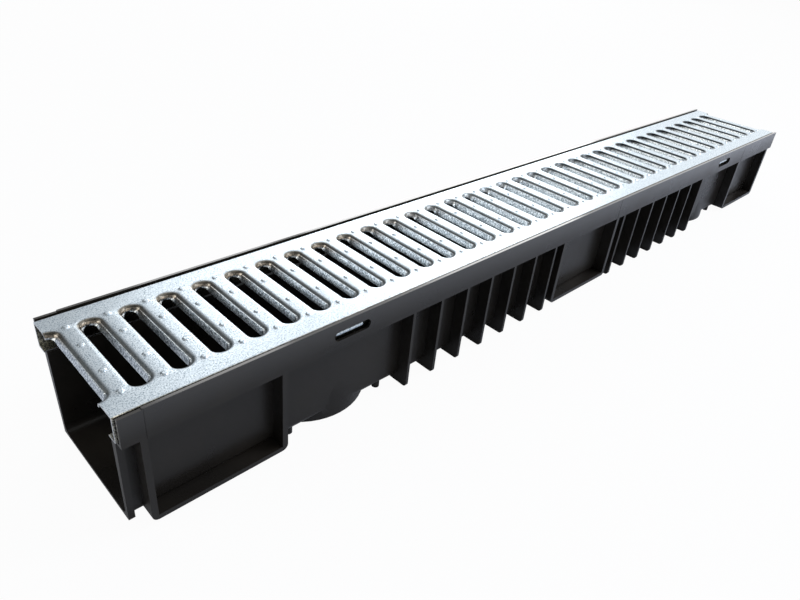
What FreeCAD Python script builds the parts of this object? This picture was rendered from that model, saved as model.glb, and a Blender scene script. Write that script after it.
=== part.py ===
import FreeCAD, Part
import math
import operator
import os

import Sketcher
from FreeCAD import Vector

# One metre channel drain. The origin is the middle of the channel, on the ground that its ribs
# stand on. X runs along the channel from its near end to its far end, and Z is up.

SIZES = {
    "channel_length": 1000,
    "channel_height": 100,
    "rim_spread": 126.4,
    "rim_wall": 2.2,
    "head_depth": 23.5,
    "ledge_wall": 2.2,
    "trough_spread": 102,
    "trough_wall": 2.2,
    "floor_wall": 2.4,
    "floor_lift": 4.4,
    "floor_radius": 8,
    "collar_run": 4.5,
    "collar_spread_low": 104,
    "collar_spread_high": 108,
    "lap_run": 15,
    "lap_drop": 0.8,
    "box_run": 106,
    "box_inset": 11,
    "box_middle_shift": 6,
    "box_rib": 4.6,
    "box_shelf": 4,
    "box_corner": 5,
    "fin_wall": 2.8,
    "fin_pitch": 33,
    "fin_corner": 3.5,
    "fins_near_inset": 241,
    "fins_far_inset": 230.5,
    "outlet_inset": 175,
    "outlet_radius": 53.5,
    "outlet_wall": 3,
    "outlet_lift": 0.3,
    "swell_rise": 28,
    "swell_lean": 1,
    "peg_radius": 3.3,
    "peg_offset": 45.5,
    "key_slot_run": 34.3,
    "key_slot_rise": 8.4,
    "key_slot_drop": 12.3,
    "seam_wall": 0.5,
    "seam_cut": 0.3,
    "sheet_wall": 1.2,
    "grate_end_gap": 0.5,
    "grate_side_gap": 1,
    "grate_slip": 1.8,
    "grate_drop": 0.8,
    "grate_bend": 2.2,
    "toe_run": 9,
    "mouth_radius": 9.3,
    "mouth_run": 68.2,
    "mouth_bend": 2.4,
    "mouth_slope": 68,
    "mouth_drop": 6.9,
    "stud_radius": 2.4,
    "stud_rise": 0.9,
    "stud_inner": 16.25,
    "stud_outer": 40.6,
    "lug_end_gap": 3.6,
    "lug_level_gap": 2.1,
    "lug_reach": 1.7,
}
FINS_IN_ROW = 7
BARS = 36

OPERATIONS = {"+": operator.add, "-": operator.sub, "*": operator.mul, "/": operator.truediv}


class Size:
    """A length or an angle, with the expression that ties it to the sheet of sizes."""

    def __init__(self, value, text):
        self.value = value
        self.text = text

    def joined(self, sign, other, swap=False):
        other = other if isinstance(other, Size) else Size(other, repr(other))
        left, right = (other, self) if swap else (self, other)
        return Size(OPERATIONS[sign](left.value, right.value), f"({left.text} {sign} {right.text})")

    def __add__(self, other):
        return self.joined("+", other)

    def __sub__(self, other):
        return self.joined("-", other)

    def __rsub__(self, other):
        return self.joined("-", other, swap=True)

    def __mul__(self, other):
        return self.joined("*", other)

    def __truediv__(self, other):
        return self.joined("/", other)

    def __neg__(self):
        return self * -1


def sine(angle):
    return Size(math.sin(math.radians(angle.value)), f"sin({angle.text})")


def cosine(angle):
    return Size(math.cos(math.radians(angle.value)), f"cos({angle.text})")


def lesser(one, other):
    return Size(min(one.value, other.value), f"min({one.text}; {other.text})")


doc = FreeCAD.newDocument("channel_drain")
sheet = doc.addObject("Spreadsheet::Sheet", "sizes")
for row, (alias, number) in enumerate(SIZES.items(), start=1):
    sheet.set(f"A{row}", alias.replace("_", " "))
    sheet.set(f"B{row}", str(number))
    sheet.setAlias(f"B{row}", alias)
doc.recompute()


def size(alias):
    return Size(float(sheet.get(alias)), f"sizes.{alias}")


def tie(thing, prop, length):
    """Sets a property to a size and binds it to the sheet."""
    if not prop.startswith(".") and "[" not in prop:
        setattr(thing, prop, length.value)
    thing.setExpression(prop, length.text)


def origin_part(body, role):
    return next(part for part in body.Origin.OriginFeatures if part.Role == role)


def new_sketch(body, name, role, **offset):
    """A sketch on one of the body's origin planes, moved by sizes along the sketch's own x, y or z."""
    drawing = body.newObject("Sketcher::SketchObject", name)
    drawing.AttachmentSupport = [(origin_part(body, role), "")]
    drawing.MapMode = "FlatFace"
    if offset:
        base = Vector(*[offset[axis].value if axis in offset else 0 for axis in "xyz"])
        drawing.AttachmentOffset = FreeCAD.Placement(base, FreeCAD.Rotation())
    for axis, length in offset.items():
        tie(drawing, f".AttachmentOffset.Base.{axis}", length)
    return drawing


def lock(drawing, index, point, across, up):
    """Holds one point of a line, arc or circle at two sizes from the sketch's origin."""
    for kind, length in (("DistanceX", across), ("DistanceY", up)):
        number = drawing.addConstraint(Sketcher.Constraint(kind, -1, 1, index, point, length.value))
        tie(drawing, f"Constraints[{number}]", length)


def lock_radius(drawing, index, radius):
    number = drawing.addConstraint(Sketcher.Constraint("Radius", index, radius.value))
    tie(drawing, f"Constraints[{number}]", radius)


def arc_between(start, end, radius, left):
    """An arc of the radius from start to end, turning left or right. It is stored anticlockwise."""
    chord = end - start
    rise = math.sqrt(max(radius**2 - (chord.Length / 2) ** 2, 0))
    side = Vector(-chord.y, chord.x, 0).normalize() * (rise if left else -rise)
    centre = (start + end) * 0.5 + side
    first, last = (start, end) if left else (end, start)
    angles = [math.atan2(p.y - centre.y, p.x - centre.x) for p in (first, last)]
    return Part.ArcOfCircle(Part.Circle(centre, Vector(0, 0, 1), radius), *angles)


def add_outline(drawing, steps):
    """A closed outline. A step is a point to draw a line to, or a point with a radius to reach it by
    an arc that turns left where the radius is positive and right where it is negative."""
    start = steps[-1]
    edges = []
    for step in steps:
        ends = [Vector(p[0].value, p[1].value, 0) for p in (start, step)]
        if len(step) == 3:
            radius, left = step[2]
            index = drawing.addGeometry(arc_between(*ends, radius.value, left))
            lock_radius(drawing, index, radius)
            edges.append((index, (1, 2) if left else (2, 1), step))
        else:
            index = drawing.addGeometry(Part.LineSegment(*ends))
            edges.append((index, (1, 2), step))
        start = step
    for (index, (_, end), step), (after, (begin, _), _) in zip(edges, edges[1:] + edges[:1]):
        drawing.addConstraint(Sketcher.Constraint("Coincident", index, end, after, begin))
        lock(drawing, index, end, step[0], step[1])


def rounded(corners):
    """The steps of an outline of level and upright lines. A corner with a third size is rounded."""
    steps = []
    for before, corner, after in zip(corners[-1:] + corners[:-1], corners, corners[1:] + corners[:1]):
        if len(corner) == 2:
            steps.append(corner)
            continue
        across, up, radius = corner
        points = []
        for other in (before, after):
            run = [other[axis].value - corner[axis].value for axis in (0, 1)]
            axis = 0 if abs(run[0]) > abs(run[1]) else 1
            moved = [across, up]
            moved[axis] = moved[axis] + radius * (1 if run[axis] > 0 else -1)
            points.append(moved)
        into = [corner[axis].value - points[0][axis].value for axis in (0, 1)]
        out = [points[1][axis].value - corner[axis].value for axis in (0, 1)]
        left = into[0] * out[1] - into[1] * out[0] > 0
        steps.append(points[0])
        steps.append([*points[1], (radius, left)])
    return steps


def box_corners(left, right, low, high):
    return [(left, low), (right, low), (right, high), (left, high)]


def add_circle(drawing, across, up, radius):
    circle = Part.Circle(Vector(across.value, up.value, 0), Vector(0, 0, 1), radius.value)
    index = drawing.addGeometry(circle)
    lock(drawing, index, 3, across, up)
    lock_radius(drawing, index, radius)


def add_stadium(drawing, centre, run, radius, upright):
    """A slot with round ends, whose straight sides are run long."""
    ends = []
    for side in (-1, 1):
        across = centre[0] if upright else centre[0] + run * (side / 2)
        up = centre[1] + run * (side / 2) if upright else centre[1]
        begin = (90 if side < 0 else -90) + (90 if upright else 0)
        circle = Part.Circle(Vector(across.value, up.value, 0), Vector(0, 0, 1), radius.value)
        angles = [math.radians(begin), math.radians(begin + 180)]
        index = drawing.addGeometry(Part.ArcOfCircle(circle, *angles))
        lock(drawing, index, 3, across, up)
        ends.append(index)
    lock_radius(drawing, ends[0], radius)
    drawing.addConstraint(Sketcher.Constraint("Equal", *ends))
    for start, finish in (ends, ends[::-1]):
        points = [drawing.getPoint(start, 2), drawing.getPoint(finish, 1)]
        line = drawing.addGeometry(Part.LineSegment(*points))
        drawing.addConstraint(Sketcher.Constraint("Tangent", start, 2, line, 1))
        drawing.addConstraint(Sketcher.Constraint("Tangent", line, 2, finish, 1))


def new_feature(body, kind, name, drawing, length=None, **settings):
    feature = body.newObject(f"PartDesign::{kind}", name)
    feature.Profile = drawing
    for prop, value in settings.items():
        setattr(feature, prop, value)
    if length is not None:
        tie(feature, "Length", length)
    return feature


def mirror(body, name, originals, role):
    feature = body.newObject("PartDesign::Mirrored", name)
    feature.Originals = originals
    feature.MirrorPlane = (origin_part(body, role), [""])
    body.Tip = feature
    return feature


def row_of(body, name, originals, count, pitch):
    feature = body.newObject("PartDesign::LinearPattern", name)
    feature.Originals = originals
    feature.Direction = (origin_part(body, "X_Axis"), [""])
    feature.Mode = "Spacing"
    feature.Occurrences = count
    tie(feature, "Offset", pitch)
    body.Tip = feature
    return feature


def new_body(name):
    body = doc.addObject("PartDesign::Body", name)
    body.Label = name
    body.Placement = FreeCAD.Placement()
    return body


zero = size("channel_length") * 0
near_end = -(size("channel_length") / 2)
far_end = size("channel_length") / 2
rim_half = size("rim_spread") / 2
trough_half = size("trough_spread") / 2
top = size("channel_height")
head_low = top - size("head_depth")
ledge_top = head_low + size("ledge_wall")
seat_half = rim_half - size("rim_wall")
floor_low = size("floor_lift")
outlet_x = near_end + size("outlet_inset")


# The channel body is one black polypropylene moulding: a square trough with a wide head that
# holds the grate, boxes and fins on its flanks, and a closed outlet spigot under each end.

channel = new_body("channel_body")

trough = new_sketch(channel, "trough_outline", "YZ_Plane")
radius = size("floor_radius")
add_outline(trough, rounded([
    (-trough_half, floor_low, radius), (trough_half, floor_low, radius), (trough_half, head_low),
    (rim_half, head_low), (rim_half, top), (-rim_half, top), (-rim_half, head_low),
    (-trough_half, head_low),
]))
new_feature(channel, "Pad", "trough_block", trough, size("channel_length"), SideType="Symmetric")

# Each end of the trough has a collar that stands a little proud of the walls.
collar = new_sketch(channel, "collar_outline", "YZ_Plane", z=near_end)
low_half = size("collar_spread_low") / 2
high_half = size("collar_spread_high") / 2
add_outline(collar, [
    (-low_half, floor_low), (low_half, floor_low), (high_half, head_low), (-high_half, head_low),
])
near_collar = new_feature(channel, "Pad", "near_collar", collar, size("collar_run"))

# The spigot is wider than the trough, so its root swells out of both flanks and fades upwards.
# The root of a narrower spigot would lean in a little under the floor. The spigot and the pegs
# round it stop just short of the ground.
spigot = new_sketch(channel, "spigot_outline", "XZ_Plane", x=outlet_x)
bore = size("outlet_radius") - size("outlet_wall")
lift = size("outlet_lift")
swell_end = lesser(trough_half, size("outlet_radius") - size("swell_lean"))
add_outline(spigot, [
    (bore, lift), (size("outlet_radius"), lift), (size("outlet_radius"), floor_low),
    (swell_end, floor_low + size("swell_rise")), (zero, floor_low + size("swell_rise")),
    (zero, floor_low), (bore, floor_low),
])
outlet = new_feature(channel, "Revolution", "near_outlet", spigot, Angle=360)
outlet.ReferenceAxis = (spigot, ["V_Axis"])

pegs = new_sketch(channel, "peg_circles", "XY_Plane", x=outlet_x, z=lift)
reach = size("peg_offset")
for across, up in ((reach, reach), (-reach, reach), (-reach, -reach), (reach, -reach)):
    add_circle(pegs, across, up, size("peg_radius"))
peg_run = floor_low + size("floor_wall") - lift
peg_pad = new_feature(channel, "Pad", "near_pegs", pegs, peg_run)
mirror(channel, "both_ends", [near_collar, outlet, peg_pad], "YZ_Plane")

# Three boxes on each flank: two ribs and a shelf round an open panel.
boxes = new_sketch(channel, "box_frames", "XZ_Plane")
box_starts = [
    near_end + size("box_inset"),
    size("box_middle_shift") - size("box_run") / 2,
    far_end - size("box_inset") - size("box_run"),
]
rib = size("box_rib")
corner = size("box_corner")
shelf_top = floor_low + size("box_shelf")
for start in box_starts:
    end = start + size("box_run")
    add_outline(boxes, rounded([
        (start, floor_low, corner), (end, floor_low, corner), (end, head_low),
        (end - rib, head_low), (end - rib, shelf_top), (start + rib, shelf_top),
        (start + rib, head_low), (start, head_low),
    ]))
new_feature(channel, "Pad", "box_frames_pad", boxes, size("rim_spread"), SideType="Symmetric")

# Fins stand on both flanks and run on under the floor, where they carry the channel.
corner = size("fin_corner")
fin_rows = {
    "near_fin": near_end + size("fins_near_inset"),
    "far_fin": far_end - size("fins_far_inset") - size("fin_pitch") * (FINS_IN_ROW - 1),
}
for name, place in fin_rows.items():
    fin = new_sketch(channel, f"{name}_outline", "YZ_Plane", z=place)
    add_outline(fin, rounded([
        (-rim_half, zero, corner), (rim_half, zero, corner), (rim_half, head_low),
        (-rim_half, head_low),
    ]))
    first = new_feature(channel, "Pad", name, fin, size("fin_wall"), SideType="Symmetric")
    row_of(channel, f"{name}_row", [first], FINS_IN_ROW, size("fin_pitch"))

# The inside of the trough, and the wider seat above the ledge that the grate lies in.
inside = new_sketch(channel, "inside_outline", "YZ_Plane")
inner_half = trough_half - size("trough_wall")
inner_low = floor_low + size("floor_wall")
inner_radius = radius - size("trough_wall")
add_outline(inside, rounded([
    (-inner_half, inner_low, inner_radius), (inner_half, inner_low, inner_radius),
    (inner_half, ledge_top), (seat_half, ledge_top), (seat_half, top), (-seat_half, top),
    (-seat_half, ledge_top), (-inner_half, ledge_top),
]))
new_feature(channel, "Pocket", "inside", inside, Type="ThroughAll", SideType="Symmetric")

# A slot through each rim beside each outlet takes the grate's lug.
key_slots = new_sketch(channel, "key_slot_outline", "XZ_Plane")
key_height = top - size("key_slot_drop")
key_run = size("key_slot_run") - size("key_slot_rise")
for across in (outlet_x, -outlet_x):
    add_stadium(key_slots, (across, key_height), key_run, size("key_slot_rise") / 2, upright=False)
new_feature(channel, "Pocket", "key_slots", key_slots, Type="ThroughAll", SideType="Symmetric")

# The rim is lower at the near end, where the next channel laps over it.
lap = new_sketch(channel, "lap_outline", "XZ_Plane")
lap_end = near_end + size("lap_run")
add_outline(lap, box_corners(near_end, lap_end, top - size("lap_drop"), top))
new_feature(channel, "Pocket", "lap", lap, Type="ThroughAll", SideType="Symmetric")

# Fine upright seams mark the head in line with a rib of each box.
seams = new_sketch(channel, "seam_lines", "XY_Plane", z=head_low)
seam_places = [
    box_starts[0] + rib,
    box_starts[1] + size("box_run") - rib,
    box_starts[2] + rib,
]
seam_half = size("seam_wall") / 2
seam_deep = rim_half - size("seam_cut")
for place in seam_places:
    add_outline(seams, box_corners(place - seam_half, place + seam_half, seam_deep, rim_half))
    add_outline(seams, box_corners(place - seam_half, place + seam_half, -rim_half, -seam_deep))
new_feature(channel, "Pocket", "seams", seams, size("head_depth"), Reversed=True)


# The grate is one pressed sheet of galvanised steel, folded down at both sides and in at the
# toes. Every slot is drawn down into a funnel, and the end slots are halves.

grate = new_body("grate")
grate_run = size("channel_length") - size("grate_end_gap") * 2
grate_start = near_end + size("grate_end_gap") - size("grate_slip")
grate_half = seat_half - size("grate_side_gap")
grate_top = top - size("grate_drop")
bar_pitch = grate_run / BARS
wall = size("sheet_wall")
outer = size("grate_bend")
inner = outer - wall

fold = new_sketch(grate, "fold_outline", "YZ_Plane", z=grate_start)
toe = grate_half - size("toe_run")
add_outline(fold, rounded([
    (-grate_half, ledge_top, outer), (-toe, ledge_top), (-toe, ledge_top + wall),
    (-grate_half + wall, ledge_top + wall, inner), (-grate_half + wall, grate_top - wall, inner),
    (grate_half - wall, grate_top - wall, inner), (grate_half - wall, ledge_top + wall, inner),
    (toe, ledge_top + wall), (toe, ledge_top), (grate_half, ledge_top, outer),
    (grate_half, grate_top, outer), (-grate_half, grate_top, outer),
]))
new_feature(grate, "Pad", "folded_sheet", fold, grate_run)

# A lug is pressed out of each side, level with the key slots in the rims.
lugs = new_sketch(grate, "lug_outline", "XZ_Plane", z=grate_half - wall / 2)
lug_rise = size("key_slot_rise") - size("lug_level_gap") * 2
lug_run = size("key_slot_run") - size("lug_end_gap") * 2 - lug_rise
for across in (outlet_x, -outlet_x):
    centre = (across - size("grate_slip"), key_height)
    add_stadium(lugs, centre, lug_run, lug_rise / 2, upright=False)
lug_pad = new_feature(grate, "Pad", "lugs", lugs, wall / 2 + size("lug_reach"))
mirror(grate, "lugs_both_sides", [lug_pad], "XZ_Plane")

# Four low studs on each bar give grip.
bar_middle = grate_start + bar_pitch / 2
studs = new_sketch(grate, "stud_circles", "XY_Plane", x=bar_middle, z=grate_top)
for place in (size("stud_inner"), size("stud_outer"), -size("stud_inner"), -size("stud_outer")):
    add_circle(studs, zero, place, size("stud_radius"))
stud_pad = new_feature(grate, "Pad", "studs", studs, size("stud_rise"))
row_of(grate, "stud_row", [stud_pad], BARS, bar_pitch)

mouth = new_sketch(grate, "mouth_outline", "XY_Plane", x=grate_start, z=grate_top)
add_stadium(mouth, (zero, zero), size("mouth_run"), size("mouth_radius"), upright=True)
mouth_cut = new_feature(grate, "Pocket", "mouth", mouth, wall)

# The wall of a funnel: the sheet bends down out of the top, then slopes in to its cut edge.
funnel_wall = new_sketch(grate, "funnel_wall_outline", "XZ_Plane", x=grate_start, y=grate_top)
slope = size("mouth_slope")
bend = size("mouth_bend")
back_bend = bend - wall
mouth_edge = size("mouth_radius")
bend_end = (mouth_edge - bend * sine(slope), bend * cosine(slope) - bend)
back_end = (mouth_edge - back_bend * sine(slope), back_bend * cosine(slope) - bend)
tip_z = -size("mouth_drop")
tip_x = bend_end[0] - (bend_end[1] - tip_z) * cosine(slope) / sine(slope)
add_outline(funnel_wall, [
    (mouth_edge, zero),
    (*bend_end, (bend, True)),
    (tip_x, tip_z),
    (tip_x + wall * sine(slope), tip_z - wall * cosine(slope)),
    back_end,
    (mouth_edge, -wall),
])
funnel_path = new_sketch(grate, "funnel_path", "XY_Plane", x=grate_start, z=grate_top)
add_stadium(funnel_path, (zero, zero), size("mouth_run"), mouth_edge, upright=True)
funnel = new_feature(grate, "AdditivePipe", "funnel", funnel_wall)
funnel.Spine = funnel_path
row_of(grate, "slot_row", [mouth_cut, funnel], BARS + 1, bar_pitch)

# The first and last slots are cut through the middle by the ends of the sheet.
ends = new_sketch(grate, "end_cuts", "XZ_Plane")
grate_end = grate_start + grate_run
cut_low = grate_top - size("mouth_drop") * 2
add_outline(ends, box_corners(grate_start - mouth_edge * 2, grate_start, cut_low, top))
add_outline(ends, box_corners(grate_end, grate_end + mouth_edge * 2, cut_low, top))
new_feature(grate, "Pocket", "cut_ends", ends, Type="ThroughAll", SideType="Symmetric")

doc.recompute()

failed = [thing.Name for thing in doc.Objects if {"Invalid", "Error"} & set(thing.State)]
if failed:
    raise RuntimeError(f"these objects failed: {failed}")
os.makedirs("parts", exist_ok=True)
for body in (channel, grate):
    shape = body.Shape
    if shape.isNull() or not shape.isValid() or len(shape.Solids) != 1:
        raise RuntimeError(f"{body.Label} is not one valid solid")
for body in (channel, grate):
    body.Shape.exportStep(f"parts/{body.Label}.step")
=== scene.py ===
import math

import bmesh
import bpy
from mathutils import Euler, Matrix, Vector


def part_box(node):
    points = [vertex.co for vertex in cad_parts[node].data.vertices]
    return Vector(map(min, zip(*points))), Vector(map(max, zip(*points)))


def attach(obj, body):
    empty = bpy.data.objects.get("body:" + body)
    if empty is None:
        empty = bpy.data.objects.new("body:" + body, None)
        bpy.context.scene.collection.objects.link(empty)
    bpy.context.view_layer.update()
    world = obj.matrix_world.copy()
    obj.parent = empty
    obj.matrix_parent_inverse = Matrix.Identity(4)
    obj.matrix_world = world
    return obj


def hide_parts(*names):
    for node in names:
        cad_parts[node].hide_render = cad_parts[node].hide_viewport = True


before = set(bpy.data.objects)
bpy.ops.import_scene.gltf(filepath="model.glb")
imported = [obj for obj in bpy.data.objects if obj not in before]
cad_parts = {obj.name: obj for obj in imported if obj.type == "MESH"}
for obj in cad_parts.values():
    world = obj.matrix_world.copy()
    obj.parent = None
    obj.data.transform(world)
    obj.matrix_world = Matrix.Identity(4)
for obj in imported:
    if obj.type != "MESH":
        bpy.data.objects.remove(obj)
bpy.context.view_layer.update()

MM = 0.001


# Channel body: one injection moulding in black polypropylene, with the trough, the rimmed head,
# the flank boxes, the fins and the outlet spigots all in one. The moulding is copied from the
# frame, and its hard edges, apart from the fine seams, are eased as a tool's cutter leaves them.
def linear(hex_colour):
    """An sRGB hex colour as linear red, green, blue and alpha."""
    channels = [int(hex_colour[i:i + 2], 16) / 255 for i in (1, 3, 5)]
    return [c / 12.92 if c <= 0.04045 else ((c + 0.055) / 1.055) ** 2.4 for c in channels] + [1]


def add_node(tree, kind, inputs=None, stops=(), **settings):
    """A node with its inputs as values or other nodes' outputs, its ramp's stops and settings."""
    node = tree.nodes.new(kind)
    for name, value in settings.items():
        setattr(node, name, value)
    for index, (level, colour) in enumerate(stops):
        elements = node.color_ramp.elements
        stop = elements[index] if index < len(elements) else elements.new(level)
        stop.position = level
        stop.color = colour
    for name, value in (inputs or {}).items():
        if isinstance(value, bpy.types.NodeSocket):
            tree.links.new(value, node.inputs[name])
        else:
            node.inputs[name].default_value = value
    return node


def new_material(name):
    """An empty node material and its node tree."""
    material = bpy.data.materials.new(name)
    material.use_nodes = True
    material.node_tree.nodes.clear()
    return material, material.node_tree


def new_piece(name, mesh_data):
    """An object at the origin that carries a finished bmesh."""
    mesh = bpy.data.meshes.new(name)
    mesh_data.to_mesh(mesh)
    mesh_data.free()
    mesh.shade_smooth()
    piece = bpy.data.objects.new(name, mesh)
    bpy.context.scene.collection.objects.link(piece)
    return piece


def keep_flats_flat(piece):
    """Normals weighted by face area, so that only eased edges and bends shade round."""
    weighted = piece.modifiers.new("flat_faces", "WEIGHTED_NORMAL")
    weighted.keep_sharp = True
    weighted.weight = 80


merge_gap = 0.002 * MM
flat_angle = math.radians(0.5)
hard_angle = math.radians(33)
edge_ease = 0.35 * MM
seam_reach = 1.2 * MM


def beside_seam(edge):
    """Whether a face at the edge is as narrow as a fine seam, so that easing would spoil it."""
    sides = [side for face in edge.link_faces for side in face.edges]
    return min(side.calc_length() for side in sides) <= seam_reach


moulding = bmesh.new()
moulding.from_mesh(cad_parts["channel_body"].data)
bmesh.ops.remove_doubles(moulding, verts=moulding.verts, dist=merge_gap)
bmesh.ops.dissolve_limit(
    moulding, angle_limit=flat_angle, verts=moulding.verts, edges=moulding.edges,
    delimit={"NORMAL"},
)
hard_edges = [
    edge for edge in moulding.edges
    if len(edge.link_faces) == 2 and edge.calc_face_angle() > hard_angle
    and not beside_seam(edge)
]
bmesh.ops.bevel(
    moulding, geom=hard_edges, offset=edge_ease, offset_type="OFFSET", segments=2, profile=0.5,
    affect="EDGES", material=-1, clamp_overlap=True,
)
for edge in moulding.edges:
    edge.smooth = len(edge.link_faces) == 2 and edge.calc_face_angle() < hard_angle
body = new_piece("moulded_channel", moulding)
keep_flats_flat(body)

# Black polypropylene: carbon black in a waxy plastic, satin where the tool was blasted, with
# cloudy patches of gloss. It is glossier up the head, where it is handled, and shiny where the top
# of the rim is rubbed. The grain of the tool is drawn coarser than it is, so that it shows.
patch_size = 60 * MM
grain_size = 0.9 * MM
rim_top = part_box("channel_body")[1].z
handled_from = rim_top - 20 * MM
handled_to = rim_top - 2 * MM
rubbed_from = rim_top - 0.8 * MM
rubbed_to = rim_top - 0.2 * MM

plastic, tree = new_material("black_polypropylene")
place = add_node(tree, "ShaderNodeTexCoord").outputs["Object"]
height = add_node(tree, "ShaderNodeSeparateXYZ", {"Vector": place}).outputs["Z"]
patch = add_node(tree, "ShaderNodeTexNoise", {
    "Vector": place, "Scale": 1 / patch_size, "Detail": 3.0, "Roughness": 0.6,
}).outputs["Fac"]
pigment = add_node(
    tree, "ShaderNodeValToRGB", {"Fac": patch},
    stops=((0.35, linear("#1C1A18")), (0.7, linear("#24211D"))),
).outputs["Color"]
satin = add_node(tree, "ShaderNodeMapRange", {
    "Value": patch, "From Min": 0.3, "From Max": 0.7, "To Min": 0.24, "To Max": 0.38,
}).outputs["Result"]
gloss = add_node(tree, "ShaderNodeMapRange", {
    "Value": height, "From Min": rubbed_from, "From Max": rubbed_to, "To Min": satin,
    "To Max": 0.12,
}).outputs["Result"]
rubbed = add_node(tree, "ShaderNodeMapRange", {
    "Value": height, "From Min": rubbed_from, "From Max": rubbed_to,
}).outputs["Result"]
handled = add_node(tree, "ShaderNodeMapRange", {
    "Value": height, "From Min": handled_from, "From Max": handled_to, "To Max": 0.5,
}).outputs["Result"]
polished = add_node(tree, "ShaderNodeMath", {
    0: rubbed, 1: handled,
}, operation="MAXIMUM").outputs["Value"]
grain = add_node(tree, "ShaderNodeTexNoise", {
    "Vector": place, "Scale": 1 / grain_size, "Detail": 2.0,
}).outputs["Fac"]
relief = add_node(tree, "ShaderNodeBump", {
    "Height": grain, "Strength": 0.18, "Distance": 0.05 * MM,
}).outputs["Normal"]
skin = add_node(tree, "ShaderNodeBsdfPrincipled", {
    "Base Color": pigment, "Roughness": gloss, "Normal": relief, "IOR": 1.49,
    "Specular IOR Level": 0.33, "Coat Weight": polished, "Coat Roughness": 0.1, "Coat IOR": 1.7,
})
add_node(tree, "ShaderNodeOutputMaterial", {"Surface": skin.outputs["BSDF"]})
body.data.materials.append(plastic)
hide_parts("channel_body")
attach(body, "root")


# Grate: one strip of galvanised steel 1.2 mm thick. The slots are punched and drawn down into
# funnels, the studs are pressed up, and the sides are folded down with a toe turned in. It is
# made as one bar between two half slots, repeated along the strip, and then given its thickness.
sheet_wall = 1.2 * MM
bar_count = 36
mouth_radius = 10.6 * MM
mouth_run = 68.2 * MM
slot_end = mouth_run / 2 + mouth_radius
end_steps = 12

# How a mouth is drawn down, as steps inwards and drops in millimetres: the wall that faces -X has
# a crease, and the wall that faces +X a tighter bend. Their profiles fade away round the ends.
side_profiles = {
    -1: [(1.0, 0.1), (1.95, 0.37), (2.8, 0.8), (3.45, 1.3), (3.85, 1.72), (4.4, 1.76), (5.7, 6.9)],
    1: [(1.3, 0.05), (2.4, 0.22), (3.2, 0.6), (3.65, 1.15), (3.85, 1.72), (3.95, 1.9), (5.7, 6.9)],
}
end_profile = [
    (1.19, 0.17), (2.28, 0.65), (3.2, 1.42), (3.87, 2.42), (4.17, 3.26), (4.2, 3.5), (4.2, 4.4),
]
crease_rings = (4, 5)
side_fade = 12

# The domes of the studs and the pads of the lugs, as rings with a share of the radius and of the
# rise or reach.
stud_radius = 2.7 * MM
stud_rise = 0.9 * MM
stud_rings = [(0.86, 0.3), (0.66, 0.86), (0.42, 1)]
stud_sides = 14
stud_places = [y * MM for y in (-40.6, -16.25, 16.25, 40.6)]
lug_radius = 1.8 * MM
lug_straight = 23.3 * MM
lug_reach = 2.5 * MM
lug_rings = [(0.93, 0.5), (0.74, 0.82), (0.45, 0.98), (0.2, 1)]
lug_sides = 18
lug_places = [(x * MM, 88.3 * MM) for x in (-326.8, 323.2)]

fold_bend = 1.3 * MM
fold_steps = 5
toe_run = 9 * MM
join_gap = 0.01 * MM
cut_ease = 0.12 * MM
cut_angle = math.radians(50)

grate_low, grate_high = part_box("grate")
pitch = (grate_high.x - grate_low.x) / bar_count
flat_z = grate_high.z - stud_rise
half_width = grate_high.y - lug_reach
flat_half = half_width - fold_bend
fold_z = grate_low.z + fold_bend

strip = bmesh.new()


def sweep_round(mesh, vert, centre, angle, steps):
    """Sweeps the last point of an open chain round a centre in the flat, and returns its new end."""
    swept = bmesh.ops.spin(
        mesh, geom=[vert], cent=centre, axis=(0, 0, 1), angle=angle, steps=steps, dvec=(0, 0, 0),
    )
    return next(item for item in swept["geom_last"] if isinstance(item, bmesh.types.BMVert))


def half_mouth(mesh, side):
    """The edge of half a slot, as a chain from one end of the slot to the other."""
    centre_x = side * pitch / 2
    first = mesh.verts.new((centre_x, slot_end, flat_z))
    turn = side * math.pi / 2
    corner = sweep_round(mesh, first, (centre_x, mouth_run / 2, flat_z), turn, end_steps)
    corner_edge = bmesh.ops.extrude_vert_indiv(mesh, verts=[corner])
    across = corner_edge["verts"][0]
    bmesh.ops.translate(mesh, verts=[across], vec=(0, -mouth_run, 0))
    last = sweep_round(mesh, across, (centre_x, -mouth_run / 2, flat_z), turn, end_steps)
    return first, last


mouth_ends = {side: half_mouth(strip, side) for side in (-1, 1)}
mouth_edges = {
    side: [edge for edge in strip.edges if edge.verts[0].co.x * side > 0] for side in (-1, 1)
}
side_edges = []
for index, y_side in enumerate((1, -1)):
    corners = [strip.verts.new((side * pitch / 2, y_side * flat_half, flat_z)) for side in (-1, 1)]
    strip.edges.new((mouth_ends[-1][index], corners[0]))
    strip.edges.new((mouth_ends[1][index], corners[1]))
    side_edges.append(strip.edges.new(corners))
stud_edges = []
for y in stud_places:
    ring = bmesh.ops.create_circle(
        strip, segments=stud_sides, radius=stud_radius, matrix=Matrix.Translation((0, y, flat_z)),
    )
    stud_edges.append((y, list({edge for vert in ring["verts"] for edge in vert.link_edges})))
bmesh.ops.triangle_fill(
    strip, use_beauty=True, use_dissolve=False, edges=strip.edges, normal=(0, 0, 1),
)


def extrude_ring(mesh, edges):
    """Extrudes edges in place and returns the new edges and points."""
    grown = bmesh.ops.extrude_edge_only(mesh, edges=edges)["geom"]
    return (
        [item for item in grown if isinstance(item, bmesh.types.BMEdge)],
        [item for item in grown if isinstance(item, bmesh.types.BMVert)],
    )


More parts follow.
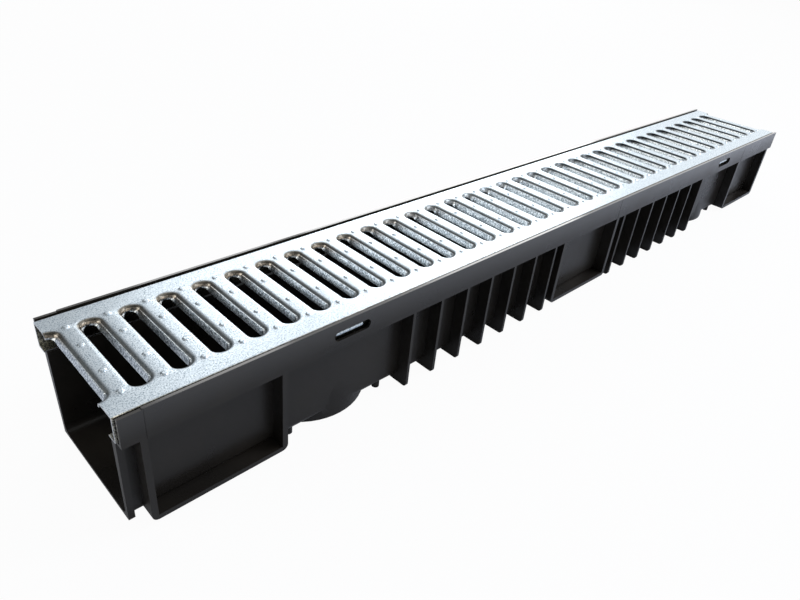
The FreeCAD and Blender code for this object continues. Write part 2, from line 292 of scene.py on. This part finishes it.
for side, ring_edges in mouth_edges.items():
    side_radius = end_radius = mouth_radius
    for index, (side_step, end_step) in enumerate(zip(side_profiles[side], end_profile)):
        next_side_radius, side_drop = mouth_radius - side_step[0] * MM, side_step[1] * MM
        next_end_radius, end_drop = mouth_radius - end_step[0] * MM, end_step[1] * MM
        ring_edges, points = extrude_ring(strip, ring_edges)
        for edge in ring_edges:
            edge.smooth = index not in crease_rings
        for y_side in (1, -1):
            centre = Vector((side * pitch / 2, y_side * mouth_run / 2, 0))
            bmesh.ops.scale(
                strip, vec=(next_side_radius / side_radius, next_end_radius / end_radius, 1),
                space=Matrix.Translation(-centre),
                verts=[point for point in points if point.co.y * y_side > 0],
            )
        side_radius, end_radius = next_side_radius, next_end_radius
        for point in points:
            sideways = abs(point.co.x - side * pitch / 2) / side_radius
            point.co.z = flat_z - end_drop - (side_drop - end_drop) * sideways**side_fade

for y, ring_edges in stud_edges:
    centre = Vector((0, y, 0))
    width_share, rise_share = 1, 0
    for next_width_share, next_rise_share in stud_rings:
        ring_edges, points = extrude_ring(strip, ring_edges)
        lift = (next_rise_share - rise_share) * stud_rise
        bmesh.ops.translate(strip, verts=points, vec=(0, 0, lift))
        shrink = next_width_share / width_share
        bmesh.ops.scale(
            strip, vec=(shrink, shrink, 1), space=Matrix.Translation(-centre), verts=points,
        )
        width_share, rise_share = next_width_share, next_rise_share
    bmesh.ops.contextual_create(strip, geom=ring_edges)

for y_side, edge in zip((1, -1), side_edges):
    down = (0, 0, fold_z - flat_z + fold_bend)
    inwards = (0, -y_side * (toe_run - fold_bend), 0)
    for bend_centre_z, run in ((flat_z - fold_bend, down), (fold_z, inwards)):
        bent = bmesh.ops.spin(
            strip, geom=[edge, *edge.verts], cent=(0, y_side * flat_half, bend_centre_z),
            axis=(1, 0, 0), angle=-y_side * math.pi / 2, steps=fold_steps, dvec=(0, 0, 0),
        )["geom_last"]
        edge = next(item for item in bent if isinstance(item, bmesh.types.BMEdge))
        (edge,), points = extrude_ring(strip, [edge])
        bmesh.ops.translate(strip, verts=points, vec=run)

bmesh.ops.translate(strip, verts=strip.verts, vec=(grate_low.x + pitch / 2, 0, 0))
one_bar = strip.verts[:] + strip.edges[:] + strip.faces[:]
for index in range(1, bar_count):
    copied = bmesh.ops.duplicate(strip, geom=one_bar)["geom"]
    moved = [item for item in copied if isinstance(item, bmesh.types.BMVert)]
    bmesh.ops.translate(strip, verts=moved, vec=(index * pitch, 0, 0))
bmesh.ops.remove_doubles(strip, verts=strip.verts, dist=join_gap)
bmesh.ops.recalc_face_normals(strip, faces=strip.faces)
top_face = max(strip.faces, key=lambda face: face.calc_center_median().z)
if top_face.normal.z < 0:
    bmesh.ops.reverse_faces(strip, faces=strip.faces)

sheet_faces = set(strip.faces)
for x, z in lug_places:
    for y_side in (1, -1):
        centre = Vector((x, y_side * half_width, z))
        ring = bmesh.ops.create_circle(
            strip, segments=lug_sides, radius=lug_radius,
            matrix=Matrix.Translation(centre) @ Matrix.Rotation(y_side * math.pi / 2, 4, "X"),
        )
        halves = {
            x_side: [vert for vert in ring["verts"] if (vert.co.x - x) * x_side > 0]
            for x_side in (1, -1)
        }
        for x_side, points in halves.items():
            bmesh.ops.translate(strip, verts=points, vec=(x_side * lug_straight / 2, 0, 0))
        ring_edges = list({edge for vert in ring["verts"] for edge in vert.link_edges})
        width_share, reach_share = 1, 0
        for next_width_share, next_reach_share in lug_rings:
            ring_edges, points = extrude_ring(strip, ring_edges)
            step = y_side * (next_reach_share - reach_share) * lug_reach
            bmesh.ops.translate(strip, verts=points, vec=(0, step, 0))
            shrink = next_width_share / width_share
            for x_side in (1, -1):
                tip = centre + Vector((x_side * lug_straight / 2, 0, 0))
                bmesh.ops.scale(
                    strip, vec=(shrink, 1, shrink), space=Matrix.Translation(-tip),
                    verts=[point for point in points if (point.co.x - x) * x_side > 0],
                )
            width_share, reach_share = next_width_share, next_reach_share
        bmesh.ops.contextual_create(strip, geom=ring_edges)
bmesh.ops.recalc_face_normals(
    strip, faces=[face for face in strip.faces if face not in sheet_faces],
)

grate = new_piece("slotted_grate", strip)
thick = grate.modifiers.new("sheet", "SOLIDIFY")
thick.thickness = sheet_wall
thick.offset = -1
thick.use_even_offset = True
thick.material_offset_rim = 1
ease = grate.modifiers.new("cut_edges", "BEVEL")
ease.width = cut_ease
ease.segments = 1
ease.limit_method = "ANGLE"
ease.angle_limit = cut_angle
keep_flats_flat(grate)

# Hot-dip galvanised steel: a skin of zinc dulled by a thin oxide. Its fine crystals speckle the
# flats and streak the drawn walls, drawn coarse enough to show. Painted shade darkens the bends,
# a painted tan reflection lies at the near slot ends, and the folded sides carry painted light and
# shade.
speck_size = 0.9 * MM
streak_size = 1.1 * MM
drawn_depth = 8 * MM
black = (0, 0, 0, 1)
white = (1, 1, 1, 1)

zinc, tree = new_material("galvanised_steel")
place = add_node(tree, "ShaderNodeTexCoord").outputs["Object"]
position = add_node(tree, "ShaderNodeSeparateXYZ", {"Vector": place})
level = add_node(tree, "ShaderNodeMapRange", {
    "Value": position.outputs["Z"], "From Min": flat_z - drawn_depth, "From Max": flat_z,
}).outputs["Result"]
stretched = add_node(tree, "ShaderNodeVectorMath", {
    0: place, 1: (1, 1, 0.7),
}, operation="MULTIPLY").outputs["Vector"]
speck = add_node(tree, "ShaderNodeTexNoise", {
    "Vector": stretched, "Scale": 1 / speck_size, "Detail": 2.0, "Roughness": 0.6,
}).outputs["Fac"]
streaks = add_node(tree, "ShaderNodeTexNoise", {
    "Vector": stretched, "Scale": 1 / streak_size, "Detail": 2.0, "Roughness": 0.6,
}).outputs["Fac"]
flat_tone = add_node(
    tree, "ShaderNodeValToRGB", {"Fac": speck},
    stops=((0.36, linear("#8495A2")), (0.47, linear("#C6D2DB")), (0.62, linear("#DBE5EC"))),
).outputs["Color"]
wall_tone = add_node(
    tree, "ShaderNodeValToRGB", {"Fac": streaks},
    stops=((0.42, linear("#87929A")), (0.58, linear("#F0F6FA"))),
).outputs["Color"]
# The mottled tone of the folded sides, painted pale as painted light where the open end shows them.
fold_mottle_and_painted_light = add_node(
    tree, "ShaderNodeValToRGB", {"Fac": streaks},
    stops=((0.42, linear("#6E6A5C")), (0.58, linear("#FFF8E2"))),
).outputs["Color"]

# The walls start below the crease, and painted shade darkens the bend above it, most of all
# at its foot.
drawn = add_node(
    tree, "ShaderNodeValToRGB", {"Fac": level}, stops=((0, black), (0.08, white), (0.785, black)),
)
drawn.color_ramp.interpolation = "CONSTANT"
tone = add_node(tree, "ShaderNodeMix", {
    "Factor": drawn.outputs["Color"], 6: flat_tone, 7: wall_tone,
}, data_type="RGBA").outputs[2]
# Painted shade in the bend: a grey multiplied in by level.
painted_bend_shade = add_node(
    tree, "ShaderNodeValToRGB", {"Fac": level},
    stops=((0.79, white), (0.81, linear("#8C8A87")), (0.93, linear("#B7B5B1")), (0.99, white)),
).outputs["Color"]
tone = add_node(tree, "ShaderNodeMix", {
    "Factor": 1.0, 6: tone, 7: painted_bend_shade,
}, data_type="RGBA", blend_type="MULTIPLY").outputs[2]

# Three marks of painted light, each with its amounts by level, its colour, and where it starts and
# is full, in millimetres across and along. The first two lie at the slot ends on the +Y side, and
# the last follows the crease over the whole width.
painted_end_reflection_and_shade = ((0.5, 0), (0.64, 0.9), (0.93, 0.8), (0.99, 0))
painted_crease_shade = ((0.73, 0), (0.8, 1), (0.92, 0.85), (0.985, 0))
for amounts, colour, (start_y, full_y), (start_x, full_x) in (
    # A painted tan reflection at the slot ends, growing towards the near end.
    (painted_end_reflection_and_shade, "#B9A185", (18, 40), (-60, -260)),
    # Painted shade at the slot ends, growing towards the far end.
    (painted_end_reflection_and_shade, "#2E3133", (24, 33), (-60, 240)),
    # Painted shade along the crease over the whole width, growing towards the far end.
    (painted_crease_shade, "#5E6164", (-60, -59), (-60, 240)),
):
    painted_share = add_node(
        tree, "ShaderNodeValToRGB", {"Fac": level},
        stops=[(painted_level, (amount, amount, amount, 1)) for painted_level, amount in amounts],
    ).outputs["Color"]
    for axis, start, full in (("Y", start_y, full_y), ("X", start_x, full_x)):
        reach = add_node(tree, "ShaderNodeMapRange", {
            "Value": position.outputs[axis], "From Min": start * MM, "From Max": full * MM,
        }).outputs["Result"]
        painted_share = add_node(tree, "ShaderNodeMath", {
            0: painted_share, 1: reach,
        }, operation="MULTIPLY").outputs["Value"]
    tone = add_node(tree, "ShaderNodeMix", {
        "Factor": painted_share, 6: tone, 7: linear(colour),
    }, data_type="RGBA", blend_type="MULTIPLY").outputs[2]

# The folded sides lie below the flats and beyond the slots, as far as the lugs, which are bright.
# They are mottled and painted pale as painted light, and painted shade darkens them but for the open
# end at the lowered rim.
off_middle = add_node(tree, "ShaderNodeMath", {
    0: position.outputs["Y"],
}, operation="ABSOLUTE").outputs["Value"]
folded = 1.0
for reading, start, end, first, last in (
    (position.outputs["Z"], flat_z - 0.4 * MM, flat_z - 0.05 * MM, 0.8, 0.0),
    (off_middle, slot_end + 2.3 * MM, slot_end + 3.3 * MM, 0.0, 1.0),
    (off_middle, half_width + 0.3 * MM, half_width + 0.4 * MM, 1.0, 0.0),
):
    share = add_node(tree, "ShaderNodeMapRange", {
        "Value": reading, "From Min": start, "From Max": end, "To Min": first, "To Max": last,
    }).outputs["Result"]
    folded = add_node(tree, "ShaderNodeMath", {
        0: folded, 1: share,
    }, operation="MULTIPLY").outputs["Value"]
from_end = add_node(tree, "ShaderNodeMapRange", {
    "Value": position.outputs["X"], "From Min": grate_low.x + 3.3 * MM,
    "From Max": grate_low.x + 17.3 * MM,
}).outputs["Result"]
# Painted shade: near-black over the folded sides, except near the open end.
painted_fold_shade = add_node(tree, "ShaderNodeMath", {
    0: folded, 1: from_end,
}, operation="MULTIPLY").outputs["Value"]
for share, colour in ((folded, fold_mottle_and_painted_light), (painted_fold_shade, linear("#141414"))):
    tone = add_node(tree, "ShaderNodeMix", {
        "Factor": share, 6: tone, 7: colour,
    }, data_type="RGBA").outputs[2]

gloss = add_node(tree, "ShaderNodeMapRange", {
    "Value": speck, "From Min": 0.3, "From Max": 0.7, "To Min": 0.38, "To Max": 0.26,
}).outputs["Result"]
relief = add_node(tree, "ShaderNodeBump", {
    "Height": speck, "Strength": 0.6, "Distance": 0.03 * MM,
}).outputs["Normal"]
skin = add_node(tree, "ShaderNodeBsdfPrincipled", {
    "Base Color": tone, "Roughness": gloss, "Normal": relief, "Metallic": 1.0,
})
add_node(tree, "ShaderNodeOutputMaterial", {"Surface": skin.outputs["BSDF"]})

# Punched steel edge: bare bright metal, with uneven gloss where the punch dragged through it.
drag_size = 0.8 * MM
cut_steel, tree = new_material("punched_steel_edge")
place = add_node(tree, "ShaderNodeTexCoord").outputs["Object"]
drag = add_node(tree, "ShaderNodeTexNoise", {
    "Vector": place, "Scale": 1 / drag_size, "Detail": 2.0,
}).outputs["Fac"]
gloss = add_node(tree, "ShaderNodeMapRange", {
    "Value": drag, "From Min": 0.3, "From Max": 0.7, "To Min": 0.25, "To Max": 0.4,
}).outputs["Result"]
skin = add_node(tree, "ShaderNodeBsdfPrincipled", {
    "Base Color": linear("#DFE2E4"), "Roughness": gloss, "Metallic": 1.0,
})
add_node(tree, "ShaderNodeOutputMaterial", {"Surface": skin.outputs["BSDF"]})
grate.data.materials.append(zinc)
grate.data.materials.append(cut_steel)
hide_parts("grate")
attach(grate, "root")


# Floor: a plain sheet of white paper that runs out of view on every side. The camera sees it just
# under white, and for every other ray it is a pale matt sheet with hardly any glow.
floor_half = 6
seen_glow = 0.96
cast_glow = 0.06
floor_mesh = bmesh.new()
bmesh.ops.create_grid(floor_mesh, x_segments=1, y_segments=1, size=floor_half)
floor = new_piece("floor", floor_mesh)
paper, tree = new_material("white_paper")
matt = add_node(tree, "ShaderNodeBsdfDiffuse", {"Color": linear("#C3C8D2")})
glow = add_node(tree, "ShaderNodeEmission", {"Color": linear("#FFFFFF"), "Strength": 1.0})
rays = add_node(tree, "ShaderNodeLightPath")
glow_share = add_node(tree, "ShaderNodeMapRange", {
    "Value": rays.outputs["Is Camera Ray"], "To Min": cast_glow, "To Max": seen_glow,
}).outputs["Result"]
surface = add_node(tree, "ShaderNodeMixShader", {
    "Fac": glow_share, 1: matt.outputs["BSDF"], 2: glow.outputs["Emission"],
})
add_node(tree, "ShaderNodeOutputMaterial", {"Surface": surface.outputs["Shader"]})
floor.data.materials.append(paper)


# Light: a room that is dark behind the camera and pale above and beyond the object. Three windows
# on the far side give the sheen on the grate, a bounce panel beyond the near end fills the slots
# from there, and a skylight over the far end fills the near flank.
bright_way = (1.35, -0.2, 0.6)
dark_level = 0.2
pale_level = 1.3

world = bpy.data.worlds.new("soft_room")
world.use_nodes = True
tree = world.node_tree
tree.nodes.clear()
rays = add_node(tree, "ShaderNodeLightPath")
direction = add_node(tree, "ShaderNodeTexCoord").outputs["Generated"]
slant = add_node(tree, "ShaderNodeVectorMath", {
    0: direction, 1: bright_way,
}, operation="DOT_PRODUCT").outputs["Value"]
room = add_node(tree, "ShaderNodeMapRange", {
    "Value": slant, "From Min": -0.1, "From Max": 1.4, "To Min": dark_level,
    "To Max": pale_level,
}).outputs["Result"]
strength = add_node(tree, "ShaderNodeMapRange", {
    "Value": rays.outputs["Is Camera Ray"], "To Min": room, "To Max": 1.0,
}).outputs["Result"]
sky = add_node(tree, "ShaderNodeBackground", {
    "Color": linear("#FFFFFF"), "Strength": strength,
})
add_node(tree, "ShaderNodeOutputWorld", {"Surface": sky.outputs["Background"]})
bpy.context.scene.world = world


def add_panel(name, place, aim, width, height, power, colour):
    """A soft light panel that faces a point."""
    light = bpy.data.lights.new(name, "AREA")
    light.shape = "RECTANGLE"
    light.size = width
    light.size_y = height
    light.energy = power
    light.color = linear(colour)[:3]
    panel = bpy.data.objects.new(name, light)
    panel.location = place
    panel.rotation_euler = (Vector(aim) - Vector(place)).to_track_quat("-Z", "Y").to_euler()
    bpy.context.scene.collection.objects.link(panel)


middle = (0, 0, 0)
under_skylight = (0.75, -0.55, 0)
add_panel("window", (2.05, 1.85, 1.17), middle, width=1.5, height=1.2, power=14, colour="#FFFFFF")
add_panel(
    "window_low", (1.67, 2.38, 0.73), middle, width=0.8, height=1.1, power=7.5, colour="#F9FBFF",
)
add_panel(
    "window_top", (0.85, 2.34, 1.68), middle, width=0.7, height=1.1, power=3.5, colour="#FFFFFF",
)
add_panel("bounce", (-2.65, 0.75, 1.15), middle, width=2.0, height=1.6, power=26, colour="#FFFBF4")
add_panel(
    "skylight", (0.75, -0.55, 1.2), under_skylight, width=0.8, height=0.5, power=14,
    colour="#EEF3FF",
)


# Camera: a lens of about 30 mm, just beyond the near end of the channel and above its near flank,
# looking down along it.
camera = bpy.data.cameras.new("camera")
camera.lens = 29.85
camera.clip_start = 0.01
viewer = bpy.data.objects.new("camera", camera)
viewer.location = (-593.4 * MM, -356.6 * MM, 370.1 * MM)
viewer.rotation_euler = Euler([math.radians(a) for a in (57.408, -5.179, -43.703)])
bpy.context.scene.collection.objects.link(viewer)
bpy.context.scene.camera = viewer
bpy.context.scene.view_settings.view_transform = "Standard"
